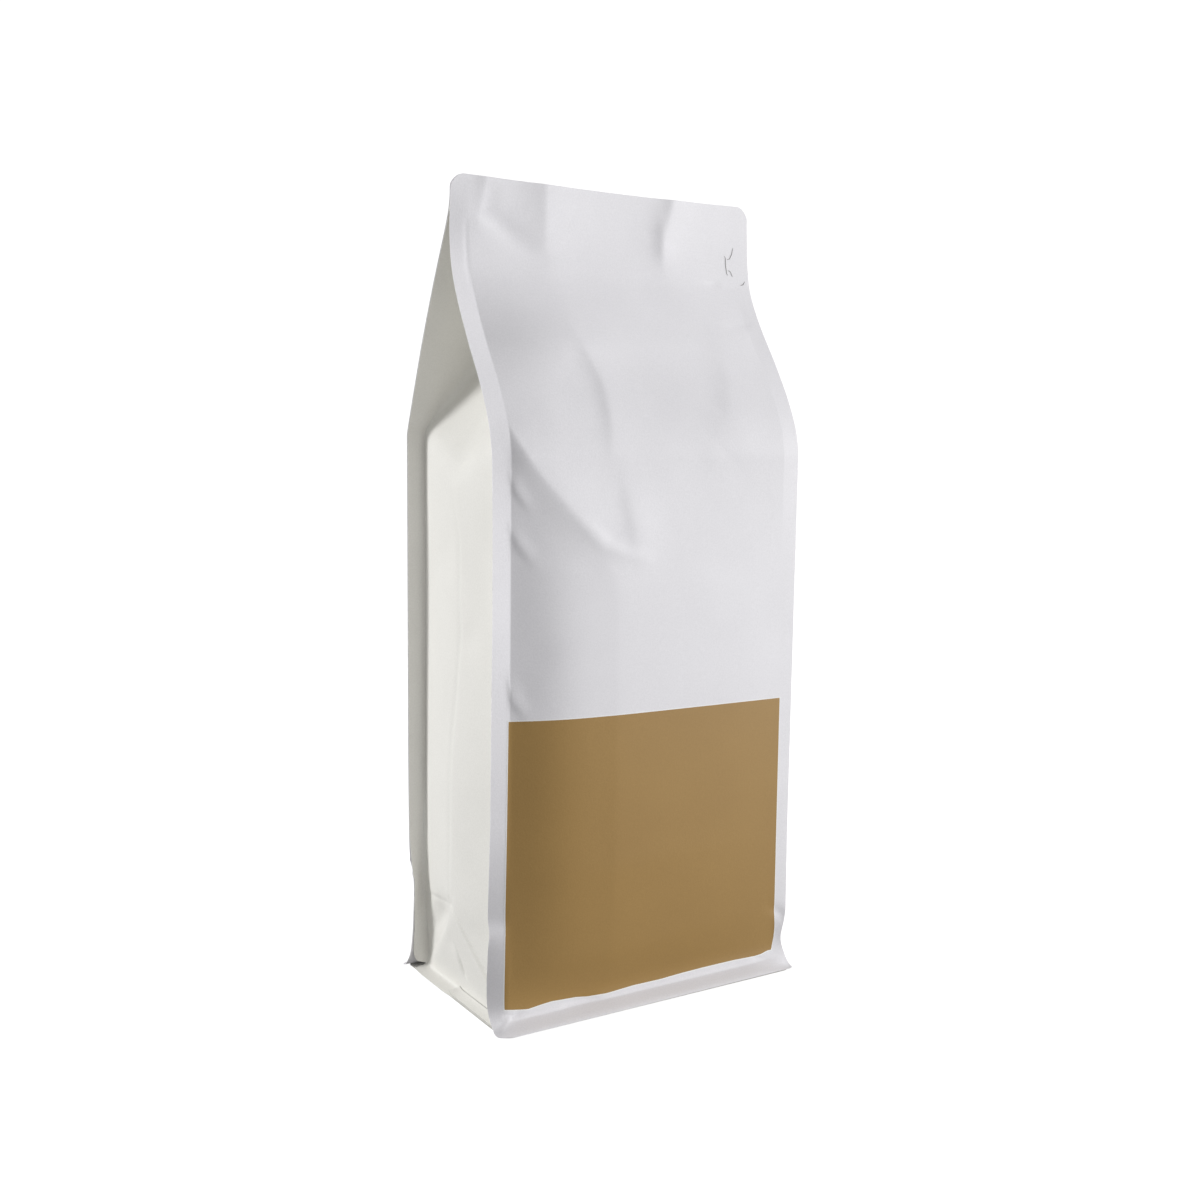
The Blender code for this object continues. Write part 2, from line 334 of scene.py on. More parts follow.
def press(piece, path, depth, width, lean=0.0, power=2.0, across=0, along_axis=1):
    """Presses a soft groove into a sheet along a path, or raises a ridge where the depth is negative.

    The path's points are (place across, height). The groove fades out at both ends, and lean makes
    its left bank steeper than its right one, or with a minus sign the right one. A power below 2
    makes its middle a crisper crease."""
    points = points_of(piece)
    flat = points[:, (across, 2)]
    nearest = np.full(len(points), np.inf)
    fade = np.zeros(len(points))
    bank = np.zeros(len(points))
    lengths = [math.dist(a, b) for a, b in zip(path, path[1:])]
    passed = 0.0
    for (a, b), length in zip(zip(path, path[1:]), lengths):
        start, run = np.array(a), np.subtract(b, a) / length
        offset = flat - start
        t = np.clip(offset @ run, 0, length)
        gap = offset - t[:, None] * run
        distance = np.hypot(gap[:, 0], gap[:, 1])
        closer = distance < nearest
        nearest[closer] = distance[closer]
        share = (passed + t) / sum(lengths)
        fade[closer] = np.sin(np.pi * np.clip(share, PRESS_END, 1 - PRESS_END))[closer]
        bank[closer] = (gap[:, 0] / np.maximum(distance, 1e-9))[closer]
        passed += length
    reach = width * (1 + lean * bank)
    points[:, along_axis] += depth * np.sqrt(fade) * np.exp(-((nearest / reach) ** power))
    move_points(piece, points)


def dimple(piece, at, depth, size, across=0, along_axis=1):
    """Presses a soft round dent into a sheet, or raises a swelling where the depth is negative."""
    points = points_of(piece)
    away = (points[:, (across, 2)] - at) / size
    points[:, along_axis] += depth * np.exp(-(away**2).sum(axis=1))
    move_points(piece, points)


def face_outwards(piece, outward):
    """Turns an open sheet's faces so that most of them look outwards."""
    seen = sum(face.normal.dot(outward) * face.area for face in piece.data.polygons)
    if seen < 0:
        piece.data.flip_normals()


def front_line(z):
    """Distance of the front seams in front of the middle plane."""
    share = (z - FRONT_BEND[0]) / (FRONT_BEND[1] - FRONT_BEND[0])
    return MEET_GAP + (SEAM_Y - MEET_GAP) * (1 - eased(share))


def set_bank(piece):
    """Reshapes the front's crown: full in the middle, with a long sunken bank at its left.

    The bank's upper border is a crisp fold, which runs from the left seam down to the right."""
    points = points_of(piece)
    x, y, z = points.T
    border = softly_along(BANK_BORDER, z)
    crisp = np.interp(z, *zip(*BANK_CRISPNESS))
    share = np.clip((x + SEAM_X) / (border + SEAM_X), 0, 1)
    soft = 1 - 3 * (1 - share) ** 4 + 2 * (1 - share) ** 5
    bank = crisp * share * (1 + BANK_ROUNDING - BANK_ROUNDING * share) + (1 - crisp) * soft
    shoulder = 1 - (1 - np.clip((x + SEAM_X) / softly_along(SHOULDER_WIDTH, z), 0, 1)) ** SHOULDER_POWER
    over = eased(np.interp(z, *zip(*SHOULDER_BLEND)))
    rise = (1 - over) * bank + over * shoulder
    start = softly_along(RIGHT_START, z, RIGHT_BLUR)
    rise *= 1 - np.clip((x - start) / (SEAM_X - start), 0, 1) ** RIGHT_POWER
    tip = np.where(x < 0, softly_along(FRONT_LEFT_TIP, z), softly_along(FRONT_RIGHT_TIP, z))
    fin = np.clip((np.abs(x) - SEAM_X) / (HALF_WIDTH - SEAM_X), 0, 1)
    shaped = -front_line(z) - softly_along(FRONT_CROWN, z) * rise * (fin == 0) + tip * fin
    plain = 1 - np.clip(np.abs(x) / SEAM_X, 0, 1) ** CROWN_POWER
    rough = y - softly_along(FRONT_CROWN, z) * (rise - plain) * (fin == 0)
    points[:, 1] = rough + eased(np.interp(z, *zip(*HELD_HEIGHTS))) * (shaped - rough)
    move_points(piece, points)


def film_grain():
    """The fine tooth of matte film, and the soft clouding that it shows under studio light."""
    group = bpy.data.node_groups.new("film grain", "ShaderNodeTree")
    for name in ("Tooth Scale", "Cloud Scale"):
        group.interface.new_socket(name, in_out="INPUT", socket_type="NodeSocketFloat")
    for name in ("Tooth", "Cloud"):
        group.interface.new_socket(name, in_out="OUTPUT", socket_type="NodeSocketFloat")
    nodes, links = group.nodes, group.links
    given = nodes.new("NodeGroupInput")
    place = nodes.new("ShaderNodeTexCoord")
    tooth = nodes.new("ShaderNodeTexNoise")
    tooth.inputs["Detail"].default_value = TOOTH_DETAIL
    cloud = nodes.new("ShaderNodeTexNoise")
    cloud.inputs["Detail"].default_value = CLOUD_DETAIL
    both = nodes.new("ShaderNodeMix")
    both.inputs["Factor"].default_value = CLOUD_TOOTH
    spread = nodes.new("ShaderNodeMapRange")
    spread.inputs["From Min"].default_value = CLOUD_RANGE[0]
    spread.inputs["From Max"].default_value = CLOUD_RANGE[1]
    result = nodes.new("NodeGroupOutput")
    links.new(place.outputs["Object"], tooth.inputs["Vector"])
    links.new(place.outputs["Object"], cloud.inputs["Vector"])
    links.new(given.outputs["Tooth Scale"], tooth.inputs["Scale"])
    links.new(given.outputs["Cloud Scale"], cloud.inputs["Scale"])
    links.new(tooth.outputs["Fac"], result.inputs["Tooth"])
    links.new(cloud.outputs["Fac"], both.inputs["A"])
    links.new(tooth.outputs["Fac"], both.inputs["B"])
    links.new(both.outputs["Result"], spread.inputs["Value"])
    links.new(spread.outputs["Result"], result.inputs["Cloud"])
    return group


GRAIN = film_grain()


def film_material(name, colour, shade, roughness):
    """A matte film: its colour clouded a little towards a shade, with a fine tooth."""
    material = bpy.data.materials.new(name)
    material.use_nodes = True
    nodes, links = material.node_tree.nodes, material.node_tree.links
    shader = nodes["Principled BSDF"]
    shader.inputs["Roughness"].default_value = roughness
    shader.inputs["Specular IOR Level"].default_value = FILM_SHEEN
    grain = nodes.new("ShaderNodeGroup")
    grain.node_tree = GRAIN
    grain.inputs["Tooth Scale"].default_value = TOOTH_SCALE
    grain.inputs["Cloud Scale"].default_value = CLOUD_SCALE
    tint = nodes.new("ShaderNodeMix")
    tint.data_type = "RGBA"
    tint.name = "film colour"
    tint.inputs["A"].default_value = (*colour, 1)
    tint.inputs["B"].default_value = (*shade, 1)
    links.new(grain.outputs["Cloud"], tint.inputs["Factor"])
    links.new(tint.outputs["Result"], shader.inputs["Base Color"])
    bump = nodes.new("ShaderNodeBump")
    bump.inputs["Strength"].default_value = TOOTH_BUMP
    bump.inputs["Distance"].default_value = TOOTH_DEPTH
    links.new(grain.outputs["Tooth"], bump.inputs["Height"])
    links.new(bump.outputs["Normal"], shader.inputs["Normal"])
    return material


COOL = film_material("cool_film", *COOL_COLOURS, COOL_ROUGHNESS)

front = sheet_of("front_sheet", -1, FRONT_HEIGHTS, front_line, FRONT_CROWN, FRONT_LEFT_TIP, FRONT_RIGHT_TIP)
set_bank(front)
for crease in FRONT_CREASES:
    press(front, *crease)
dimple(front, *FRONT_DIMPLE)
round_corners(front, FRONT_CORNERS)
roll_flange(front)
nip_fin(front)
turn_top(front)
face_outwards(front, Vector((0, -1, 0)))
front.data.materials.append(COOL)
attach(front, "root")
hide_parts("bag")

# The back sheet. It is the same film as the front, but it breaks sharply at the shoulder and slopes
# straight up to the seal. Its fins are bent in a little just above the foot.
BACK_HEIGHTS = [0.0095, 0.0140, 0.020, 0.028, 0.036, 0.0425, 0.0465, 0.0500, 0.055, 0.066, 0.085, 0.105,
                0.128, 0.150, 0.172, 0.192, 0.2075, 0.2185, 0.2262, 0.2290, 0.2318, 0.241, 0.251, 0.261,
                0.271, 0.281, 0.291, 0.300, 0.308, 0.3155, 0.322, HEIGHT]
BACK_CROWN = [(0.008, 0.0), (0.022, 0.0040), (0.060, 0.0062), (0.200, 0.0062), (0.245, 0.0045), (0.312, 0.0)]
BACK_SLOPE = (0.229, 0.314)
BACK_BULGE = 0.0010
BACK_CORNERS = (0.0025, FOOT_CORNER)
BACK_LEFT_TIP = [(0.003, 0.0), (0.0095, -0.0021), (0.020, -0.0042), (0.036, -0.0054), (0.0440, -0.0052),
                 (0.0485, -0.0018), (0.0540, -0.0007), (0.080, 0.0), (0.328, 0.0)]
BACK_RIGHT_TIP = [(0.003, 0.0), (0.0095, -0.0015), (0.030, -0.0030), (0.060, -0.0012), (0.328, 0.0)]

# Shallow folds and dents where the beans leave the film slack, then two creases across the left fin.
BACK_CREASES = [
    ([(0.0600, 0.2240), (0.0420, 0.2060), (0.0160, 0.1950)], -0.0006, 0.0070, 0.3),
    ([(-0.0610, 0.1840), (-0.0480, 0.1730), (-0.0320, 0.1680)], -0.0005, 0.0060, -0.3),
    ([(-0.0360, 0.2580), (-0.0230, 0.2440), (-0.0040, 0.2370)], -0.0006, 0.0080),
    ([(0.0600, 0.0700), (0.0450, 0.0560), (0.0380, 0.0400)], -0.0005, 0.0070, 0.3),
    ([(-0.0790, 0.0494), (-0.0600, 0.0486)], 0.0008, 0.0010),
    ([(-0.0790, 0.0434), (-0.0600, 0.0442)], 0.0008, 0.0010)]
BACK_DIMPLES = [((-0.0220, 0.1180), -0.0006, 0.0200), ((0.0280, 0.1430), -0.0005, 0.0160)]


def back_line(z):
    """Distance of the back seams behind the middle plane."""
    share = min(1.0, max(0.0, (z - BACK_SLOPE[0]) / (BACK_SLOPE[1] - BACK_SLOPE[0])))
    return MEET_GAP + (SEAM_Y - MEET_GAP) * (1 - share) + BACK_BULGE * math.sin(math.pi * share)


back = sheet_of("back_sheet", 1, BACK_HEIGHTS, back_line, BACK_CROWN, BACK_LEFT_TIP, BACK_RIGHT_TIP)
for crease in BACK_CREASES:
    press(back, *crease)
for dent in BACK_DIMPLES:
    dimple(back, *dent)
round_corners(back, BACK_CORNERS)
turn_top(back)
face_outwards(back, Vector((0, 1, 0)))
back.data.materials.append(COOL)
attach(back, "root")
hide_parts("bag")

# The two gussets. They are a warmer, creamier film with a soft crease down the middle. Their edges line
# the fins of the sheets. Above the shoulder they fold in between the sheets as a gable roof, and at the
# foot a triangle is folded in and the film turns out as a strip that is sealed to the bottom panel.
FILM = 0.0002
SMOOTH_ANGLE = math.radians(40)
GUSSET_SHARES = [0.165, 0.33, 0.495, 0.66, 0.82, 0.985, 1.0]
FIN_LINES = {1.06: 0.0038, 1.12: 0.0078}
GUSSET_HEIGHTS = [0.0040, 0.0090, 0.0145, 0.0208, 0.0270, 0.0333, 0.0395, 0.046, 0.058, 0.075, 0.095, 0.120,
                  0.142, 0.164, 0.185, 0.202, 0.212, 0.220, 0.2265, 0.2310, 0.237, 0.244, 0.252, 0.261,
                  0.271, 0.281, 0.292, 0.302, 0.314, 0.325]
GUSSET_CROWN = [(0.040, 0.0073), (0.095, 0.0066), (0.120, 0.0048), (0.164, 0.0026), (0.192, 0.0036),
                (0.208, 0.0052), (0.214, 0.0048)]
CROWN_TAPER = 0.5
STRIP_ROWS = [(0.0706, 0.0007), (0.0690, 0.0010), (0.0660, 0.0014), (0.0648, 0.0021)]
STRIP_STEP = 0.0009
STRIP_STEP_END = 0.1
STRIP_STEP_START = 0.068
ROOF_FOLD = (0.214, 0.231)
ROOF_PLAIN = 0.255
ROOF_IN = [(ROOF_FOLD[1], 0.0), (0.2435, 0.0094), (ROOF_PLAIN, 0.0196), (0.282, 0.0375)]
FOLD_PEAK = 0.0395
FOLD_SHARE = 0.66
FOLD_GATHER = 0.12
FOLD_OUTER = {0.82: (0.75, 0.31), 0.985: (0.5, 0.54)}
LINING_SHARE = 0.985
LINING_GAP = 2 * FILM + 0.0001
LINING_REACH = 0.0014

# The middle crease, a short one from the roof, then the folds of the triangle, the groove beside the rear
# fin and the small folds of the triangle's left facet.
GUSSET_CREASES = [
    ([(0.0050, 0.216), (0.0010, 0.200), (-0.0010, 0.188), (0.0004, 0.168), (-0.0014, 0.151), (0.0002, 0.124),
      (0.0024, 0.104), (0.0010, 0.071), (0.0005, 0.036)], 0.00045, 0.0017),
    ([(-0.0080, 0.240), (-0.0078, 0.228), (0.0020, 0.212)], 0.0004, 0.0022),
    ([(-0.0010, 0.0425), (0.0120, 0.0280), (0.0250, 0.0150), (0.0420, -0.0020)], 0.0016, 0.0058, 0.65, 1.5),
    ([(0.0080, 0.0370), (0.0190, 0.0290), (0.0290, 0.0200)], 0.0021, 0.0050),
    ([(0.0366, 0.0400), (0.0366, 0.0240), (0.0364, 0.0050)], 0.0018, 0.0009),
    ([(0.0020, 0.0420), (-0.0100, 0.0300), (-0.0226, 0.0180), (-0.0400, 0.0020)], 0.0014, 0.0011, 0.0, 1.7),
    ([(0.0350, 0.0352), (0.0290, 0.0353), (0.0150, 0.0376), (-0.0020, 0.0405)], 0.0004, 0.0009, 0.0, 1.7),
    ([(0.0020, 0.0225), (-0.0012, 0.0165), (-0.0036, 0.0100)], 0.0012, 0.0009, 0.2, 1.7),
    ([(0.0000, 0.0155), (-0.0045, 0.0100)], 0.0010, 0.0008, 0.0, 1.7)]
GUSSET_DIMPLES = [((0.012, 0.182), 0.0008, 0.010), ((-0.009, 0.150), 0.0005, 0.006),
                  ((0.016, 0.100), 0.0005, 0.012), ((0.007, 0.0225), 0.0010, 0.0050)]
WARM_COLOURS = ((0.875, 0.865, 0.825), (0.815, 0.805, 0.765))
WARM_ROUGHNESS = 0.6


def thicken(piece, thickness=FILM):
    """Gives a sheet its film thickness, inwards, and shades it softly."""
    add_modifier(piece, "SOLIDIFY", thickness=thickness, offset=-1.0, use_even_offset=False)
    bpy.ops.object.shade_smooth_by_angle(angle=SMOOTH_ANGLE)


def lay_against(piece, sheet):
    """Lays the points of a film that are near a sheet flat against its inner face."""
    surface = BVHTree.FromObject(sheet, bpy.context.evaluated_depsgraph_get())
    points = points_of(piece)
    for point in points:
        spot, normal, _, distance = surface.find_nearest(Vector(point), LINING_REACH)
        if spot is not None:
            hold = eased(2 * (1 - distance / LINING_REACH))
            point += hold * (np.array(spot - normal * LINING_GAP) - point)
    move_points(piece, points)


def gusset_crown(share, z):
    """How far a gusset stands out past its seams. share is 0 at its middle crease and 1 at a seam."""
    if z < FOLD_PEAK:
        return GUSSET_CROWN[0][1] * min(z / FOLD_PEAK, 1 - share)
    return along(GUSSET_CROWN, z) * (1 - CROWN_TAPER * share - (1 - CROWN_TAPER) * share**2)


def gusset_reach(share, z):
    """Distance of a gusset from the bag's middle, with its leaning roof."""
    fold = ROOF_FOLD[0] + (ROOF_FOLD[1] - ROOF_FOLD[0]) * share
    if z <= fold:
        return SEAM_X + gusset_crown(share, z)
    if z >= ROOF_PLAIN:
        return SEAM_X - along(ROOF_IN, z)
    start = gusset_crown(share, fold)
    return SEAM_X + start - (along(ROOF_IN, ROOF_PLAIN) + start) * (z - fold) / (ROOF_PLAIN - fold)


def fold_share(share, z):
    """Where a gusset's lines of points run. Low down they gather along the folded triangle."""
    if share in (0.0, 1.0) or z > 2 * FOLD_PEAK:
        return share
    up = z / FOLD_PEAK
    if share <= FOLD_SHARE:
        low, top = share / FOLD_SHARE * (1 - up), FOLD_GATHER * share
    else:
        slope, top = FOLD_OUTER[share]
        low = 1 - up * slope
    if z < FOLD_PEAK:
        return min(max(low, top), LINING_SHARE)
    return top + (share - top) * eased(up - 1)


def sheet_place(line, crown, x, z):
    """Distance of a sheet from the middle plane at a place between its seams."""
    return line(z) + along(crown, z) * (1 - (x / SEAM_X) ** CROWN_POWER)


def gusset_point(share, z, line, crown, tip):
    """A point of a gusset: its distance from the bag's middle, its place from front to back, its height.

    A share above 1 lies inside a fin, against its sheet."""
    end = -1 if share < 0 else 1
    if abs(share) > 1:
        reach = FIN_LINES[abs(share)]
        lean = end * reach / (HALF_WIDTH - SEAM_X)
        return SEAM_X + reach, end * (line(z) + lean * along(tip, z) - LINING_GAP), z
    if abs(share) == 1:
        return SEAM_X, end * (line(z) - LINING_GAP), z
    place = fold_share(abs(share), z)
    x = gusset_reach(place, z)
    edge = sheet_place(line, crown, min(x, SEAM_X), z) - LINING_GAP
    return x, end * min(place / LINING_SHARE, 1.0) * edge, z


def gusset_of(name, side, front_tip, back_tip):
    """A gusset. side is -1 at the left and 1 at the right."""
    half = GUSSET_SHARES + list(FIN_LINES)
    shares = [-share for share in reversed(half)] + [0.0] + half
    count = len(STRIP_ROWS) + len(GUSSET_HEIGHTS)
    piece, lines = add_grid(name, 2 * SEAM_Y, HEIGHT, len(shares), count,
                            turn=(math.pi / 2, 0, math.pi / 2), at=(side * SEAM_X, 0, 0))
    for row, z in zip(lines[len(STRIP_ROWS):], GUSSET_HEIGHTS):
        for index, share in zip(row, shares):
            sheet = (front_line, FRONT_CROWN, front_tip) if share < 0 else (back_line, BACK_CROWN, back_tip)
            x, y, z = gusset_point(share, z, *sheet)
            slide(piece, [index], Vector((side * x, y, z)) - place_of(piece, index))
    for row, (x, z) in zip(lines, STRIP_ROWS):
        for index, share in zip(row, shares):
            y = math.copysign(min(abs(share), 1.0), share) * (SEAM_Y - LINING_GAP)
            step = STRIP_STEP * (share < STRIP_STEP_END) * (x > STRIP_STEP_START)
            slide(piece, [index], Vector((side * (x - step), y, z)) - place_of(piece, index))
    finish_cage(piece)
    return piece


WARM = film_material("warm_film", *WARM_COLOURS, WARM_ROUGHNESS)

for name, side, tips in (("left_gusset", -1, (FRONT_LEFT_TIP, BACK_LEFT_TIP)),
                         ("right_gusset", 1, (FRONT_RIGHT_TIP, BACK_RIGHT_TIP))):
    gusset = gusset_of(name, side, *tips)
    for path, depth, width, *shape in GUSSET_CREASES:
        press(gusset, path, -side * depth, width, *shape, across=1, along_axis=0)
    for at, depth, size in GUSSET_DIMPLES:
        dimple(gusset, at, -side * depth, size, across=1, along_axis=0)
    nip_fin(gusset)
    turn_top(gusset)
    lay_against(gusset, front)
    lay_against(gusset, back)
    face_outwards(gusset, Vector((side, 0, 0)))
    thicken(gusset)
    gusset.data.materials.append(WARM)
    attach(gusset, "root")
    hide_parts("bag")

for sheet in (front, back):
    thicken(sheet)

# The lap at the foot of each gusset. The folded film's front half lies over its rear half there, so the
# sealed strip is one layer thicker in front and ends in a small step at the middle.
LAP_ROWS = [(0.0697, 0.0014), (0.0686, 0.0017), (0.0662, 0.0022), (0.0655, 0.0029)]
LAP_ENDS = (-0.0368, 0.0044)
LAP_COLUMNS = 13
LAP_SLANT = 0.24
LAP_CURL = 0.0009
LAP_THICKNESS = 0.0004

for name, side in (("left_lap", -1), ("right_lap", 1)):
    lap, lines = add_grid(name, LAP_ENDS[1] - LAP_ENDS[0], LAP_ROWS[0][0] - LAP_ROWS[-1][0], LAP_COLUMNS,
                          len(LAP_ROWS), turn=(math.pi / 2, 0, math.pi / 2),
                          at=(side * LAP_ROWS[0][0], sum(LAP_ENDS) / 2, 0))
    for row, (x, z) in zip(lines, LAP_ROWS):
        here = place_of(lap, row[0])
        slide(lap, row, (side * x - here.x, 0, z - here.z))
        slide(lap, row[-1:], (0, LAP_SLANT * (x - LAP_ROWS[0][0]), LAP_CURL))
    bpy.ops.object.mode_set(mode="OBJECT")
    face_outwards(lap, Vector((0, 0, 1)))
    thicken(lap, LAP_THICKNESS)
    lap.data.materials.append(WARM)
    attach(lap, "root")
    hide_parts("bag")

# The print. It is one field of tan ink on the lower front, a little wider than the flat between the
# seams, with a thin white border. Its foot follows the wavy bend of the skirt.
INK = 0.00004
INK_LIFT = 1.5 * INK
RAY_START = 0.1
PRINT_SIDES = (-0.0662, 0.0661)
PRINT_LEAN = 0.0100
PRINT_LEAN_START = 0.02
PRINT_RIGHT_POWER = 4
PRINT_TOP = 0.1206
PRINT_FALL = -0.0226
PRINT_FOOT = [(-0.0668, 0.0089), (-0.0620, 0.0080), (-0.0562, 0.0071), (-0.0500, 0.0077), (-0.0454, 0.0080),
              (-0.0344, 0.0074), (-0.0289, 0.0065), (-0.0199, 0.0061), (-0.0070, 0.0067), (0.0060, 0.0066),
              (0.0170, 0.0070), (0.0282, 0.0072), (0.0452, 0.0072), (0.0567, 0.0068), (0.0605, 0.0070),
              (0.0640, 0.0078)]
PRINT_RIGHT = [(0.0067, 0.0640), (0.0084, 0.0650), (0.0129, 0.0661), (0.0177, 0.0665), (0.0298, 0.0662),
               (0.1210, 0.0658)]
PRINT_BORDER = 0.00045
PRINT_COLUMNS = 132
PRINT_ROWS = 116
TAN_COLOURS = ((0.406, 0.249, 0.083), (0.374, 0.227, 0.075))
WHITE_COLOURS = ((0.93, 0.93, 0.92), (0.91, 0.91, 0.90))
INK_ROUGHNESS = 0.5


def print_steps(count):
    """Shares of the print's width or height. The first and last step are the white border."""
    return np.concatenate(([0.0], np.linspace(0.0, 1.0, count - 2), [1.0]))


def on_front(x, z, lift):
    """The place on the front sheet at x and z, lifted off its surface."""
    spot, normal, _, _ = under.ray_cast(Vector((x, -RAY_START, z)), Vector((0, 1, 0)))
    return spot + normal * lift


tan_print, lines = add_grid("tan_print", 2 * SEAM_X, PRINT_TOP, PRINT_COLUMNS, PRINT_ROWS)
bpy.ops.object.mode_set(mode="OBJECT")
under = BVHTree.FromObject(front, bpy.context.evaluated_depsgraph_get())
points = points_of(tan_print)
for row, up in zip(lines, print_steps(PRINT_ROWS)):
    for index, along_row in zip(row, print_steps(PRINT_COLUMNS)):
        column, row_place = index % PRINT_COLUMNS, index // PRINT_COLUMNS
        x = PRINT_SIDES[0] + (PRINT_SIDES[1] - PRINT_SIDES[0]) * along_row
        top = PRINT_TOP + PRINT_FALL * x
        foot = along(PRINT_FOOT, x)
        z = foot + (top - foot) * up
        x += PRINT_LEAN * (z - PRINT_LEAN_START) * (1 - along_row)
        x += (along(PRINT_RIGHT, z) - PRINT_SIDES[1]) * along_row**PRINT_RIGHT_POWER
        x += PRINT_BORDER * ((column == PRINT_COLUMNS - 1) - (column == 0))
        z += PRINT_BORDER * ((row_place == PRINT_ROWS - 1) - (row_place == 0))
        points[index] = on_front(x, z, INK_LIFT)
move_points(tan_print, points)
face_outwards(tan_print, Vector((0, -1, 0)))
for face in tan_print.data.polygons:
    column, row_place = face.index % (PRINT_COLUMNS - 1), face.index // (PRINT_COLUMNS - 1)
    face.material_index = int(column in (0, PRINT_COLUMNS - 2) or row_place in (0, PRINT_ROWS - 2))
thicken(tan_print, INK)
tan_print.data.materials.append(film_material("tan_ink", *TAN_COLOURS, INK_ROUGHNESS))
tan_print.data.materials.append(film_material("white_ink", *WHITE_COLOURS, INK_ROUGHNESS))
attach(tan_print, "root")
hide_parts("bag")

# The tear notch. It is a small slit with curled ends, cut through the seal's right end. It is drawn as thin
# dark ribbons lying on the front: painted shade of the cut, not a cut in the film.
SLIT_STROKES = [[(0.0597, 0.3060), (0.0604, 0.3052), (0.0603, 0.3020), (0.0607, 0.2985), (0.0613, 0.2979)],
                [(0.0612, 0.3046), (0.0626, 0.3050), (0.0638, 0.3070), (0.0646, 0.3098)],
                [(0.0614, 0.3000), (0.0626, 0.2997), (0.0637, 0.2975)],
                [(0.0678, 0.2940), (0.0692, 0.2944), (0.0703, 0.2958)]]
SLIT_WIDTH = 0.00035
SLIT_END = 0.25
SLIT_STEPS = 4
SLIT_LIFT = 2 * INK
# Painted shade: the dark grey of the ribbons stands in for the shadow inside the slit.
SLIT_SHADOW_COLOURS = ((0.30, 0.29, 0.29), (0.36, 0.35, 0.35))
SLIT_ROUGHNESS = 0.8

strokes = []
for stroke in SLIT_STROKES:
    spots = [np.array(a) + (np.array(b) - np.array(a)) * step / SLIT_STEPS
             for a, b in zip(stroke, stroke[1:]) for step in range(SLIT_STEPS)] + [np.array(stroke[-1])]
    piece, lines = add_grid("tear_notch", 1, SLIT_WIDTH, len(spots), 2)
    bpy.ops.object.mode_set(mode="OBJECT")
    points = points_of(piece)
    for place, spot in enumerate(spots):
        run = spots[min(place + 1, len(spots) - 1)] - spots[max(place - 1, 0)]
        across_run = np.array((-run[1], run[0])) / np.hypot(*run)
        width = SLIT_WIDTH * (SLIT_END + (1 - SLIT_END) * math.sin(math.pi * (place + 0.5) / len(spots)))
        for row, sign in zip(lines, (-0.5, 0.5)):
            x, z = spot + across_run * sign * width
            points[row[place]] = on_front(x, z, SLIT_LIFT)
    move_points(piece, points)
    face_outwards(piece, Vector((0, -1, 0)))
    strokes.append(piece)
bpy.ops.object.select_all(action="DESELECT")
for piece in strokes:
    piece.select_set(True)
bpy.context.view_layer.objects.active = strokes[0]
bpy.ops.object.join()
tear_notch = strokes[0]
tear_notch.name = "tear_notch"
thicken(tear_notch, INK)
tear_notch.data.materials.append(film_material("slit_shadow", *SLIT_SHADOW_COLOURS, SLIT_ROUGHNESS))
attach(tear_notch, "root")
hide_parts("bag")

# The bottom panel. It is a flat piece of the same warm film with rounded corners, which closes the
# pouch and lies under the sheets' skirts.
BOTTOM_SIZE = (0.1394, 0.089)
BOTTOM_HEIGHT = 0.00025
BOTTOM_CORNERS = [((-1, -1), FOOT_CORNER), ((1, 1), FOOT_CORNER), ((-1, 1), 0.0025), ((1, -1), 0.0025)]
CORNER_STEPS = 8

bpy.ops.object.select_all(action="DESELECT")
bpy.ops.mesh.primitive_plane_add(size=1, location=(0, 0, BOTTOM_HEIGHT))
bottom = bpy.context.object
bottom.name = "bottom_panel"
bottom.scale = (*BOTTOM_SIZE, 1)
bpy.ops.object.transform_apply(location=True, rotation=True, scale=True)
bpy.ops.object.mode_set(mode="EDIT")
for corner, radius in BOTTOM_CORNERS:
    places = [vertex.co.xy @ Vector(corner) for vertex in bmesh.from_edit_mesh(bottom.data).verts]
    select_points(bottom, [places.index(max(places))])
    bpy.ops.mesh.bevel(offset=radius, segments=CORNER_STEPS, affect="VERTICES")
bpy.ops.object.mode_set(mode="OBJECT")
thicken(bottom)
bottom.data.materials.append(WARM)
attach(bottom, "root")
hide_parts("bag")

# The camera stands at the front left, a little above the middle of the bag, and looks slightly down.
CAMERA_AT = Vector((-0.315323, -0.500165, 0.235589))
CAMERA_YAW = 0.560169
CAMERA_PITCH = 0.126366
CAMERA_ROLL = 0.0130013
CAMERA_LENS = 42.57
CAMERA_SENSOR = 36

ahead = Vector((math.sin(CAMERA_YAW) * math.cos(CAMERA_PITCH), math.cos(CAMERA_YAW) * math.cos(CAMERA_PITCH),
                -math.sin(CAMERA_PITCH)))
level = Vector((math.cos(CAMERA_YAW), -math.sin(CAMERA_YAW), 0))
upright = level.cross(ahead)
right = math.cos(CAMERA_ROLL) * level + math.sin(CAMERA_ROLL) * upright
above = math.cos(CAMERA_ROLL) * upright - math.sin(CAMERA_ROLL) * level
camera = bpy.data.objects.new("camera", bpy.data.cameras.new("camera"))
camera.data.lens = CAMERA_LENS
camera.data.sensor_width = CAMERA_SENSOR
camera.matrix_world = Matrix.Translation(CAMERA_AT) @ Matrix((right, above, -ahead)).transposed().to_4x4()
bpy.context.collection.objects.link(camera)
bpy.context.scene.camera = camera

# The studio: a plain pale floor that runs out to a white surround, and large soft lamps.
FLOOR_SIZE = 12
FLOOR_GREY = (0.25, 0.25, 0.25, 1)
FLOOR_LIGHT = 0.12
FLOOR_SEEN = 0.95
WHITE = (1, 1, 1, 1)
SURROUND_LIGHT = 0.45
SURROUND_SEEN = 1.1
LAMPS = [("key", (2.86, -1.43, 0.25), 146, 1.6), ("side", (-1.5, 0.78, 0.5), 17.5, 0.6)]
LAMP_AIM = Vector((0, 0, 0.16))

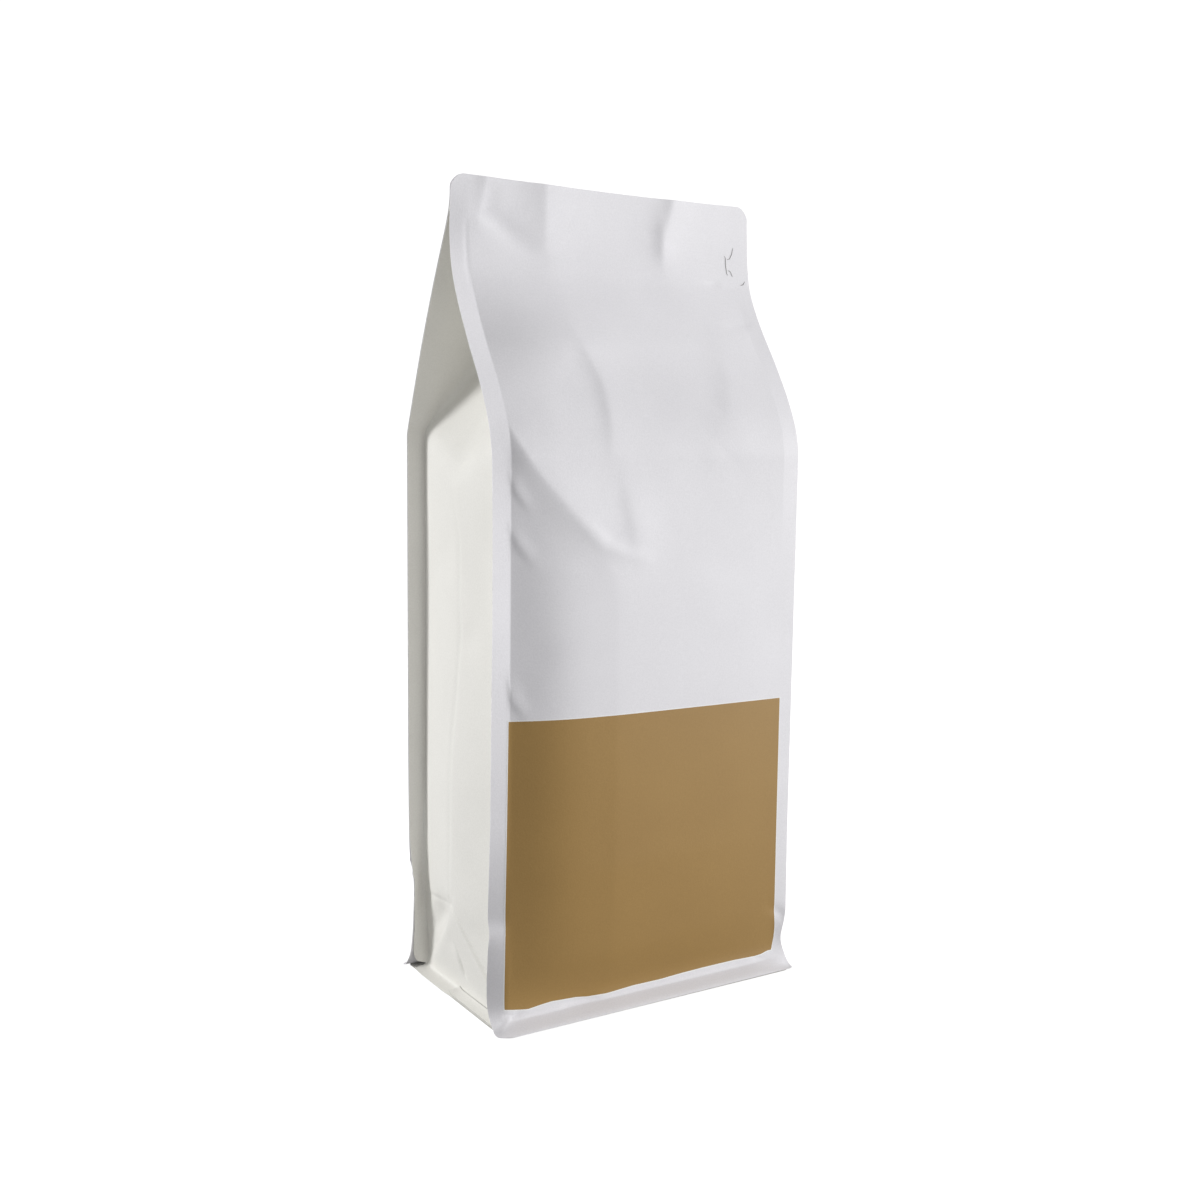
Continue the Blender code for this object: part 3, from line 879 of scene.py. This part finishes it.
bpy.ops.object.select_all(action="DESELECT")
bpy.ops.mesh.primitive_plane_add(size=FLOOR_SIZE, location=(0, 0, 0))
floor = bpy.context.object
floor.name = "floor"
paint = bpy.data.materials.new("floor_paint")
paint.use_nodes = True
floor_shader = paint.node_tree.nodes["Principled BSDF"]
floor_shader.inputs["Base Color"].default_value = FLOOR_GREY
floor_shader.inputs["Roughness"].default_value = 1.0
floor_shader.inputs["Emission Color"].default_value = WHITE
floor_glow = paint.node_tree.nodes.new("ShaderNodeMapRange")
floor_glow.inputs["To Min"].default_value = FLOOR_LIGHT
floor_glow.inputs["To Max"].default_value = FLOOR_SEEN
floor_path = paint.node_tree.nodes.new("ShaderNodeLightPath")
paint.node_tree.links.new(floor_path.outputs["Is Camera Ray"], floor_glow.inputs["Value"])
paint.node_tree.links.new(floor_glow.outputs["Result"], floor_shader.inputs["Emission Strength"])
floor.data.materials.append(paint)

world = bpy.data.worlds.new("surround")
world.use_nodes = True
nodes, links = world.node_tree.nodes, world.node_tree.links
nodes["Background"].inputs["Color"].default_value = WHITE
nodes["Background"].inputs["Strength"].default_value = SURROUND_LIGHT
seen = nodes.new("ShaderNodeBackground")
seen.inputs["Color"].default_value = WHITE
seen.inputs["Strength"].default_value = SURROUND_SEEN
path_of = nodes.new("ShaderNodeLightPath")
either = nodes.new("ShaderNodeMixShader")
links.new(path_of.outputs["Is Camera Ray"], either.inputs["Fac"])
links.new(nodes["Background"].outputs["Background"], either.inputs[1])
links.new(seen.outputs["Background"], either.inputs[2])
links.new(either.outputs["Shader"], nodes["World Output"].inputs["Surface"])
bpy.context.scene.world = world
bpy.context.scene.view_settings.view_transform = "Standard"

for name, place, energy, size in LAMPS:
    lamp = bpy.data.lights.new(name, "AREA")
    lamp.energy = energy
    lamp.size = size
    holder = bpy.data.objects.new(name, lamp)
    holder.location = place
    holder.rotation_euler = (LAMP_AIM - Vector(place)).to_track_quat("-Z", "Y").to_euler()
    bpy.context.collection.objects.link(holder)
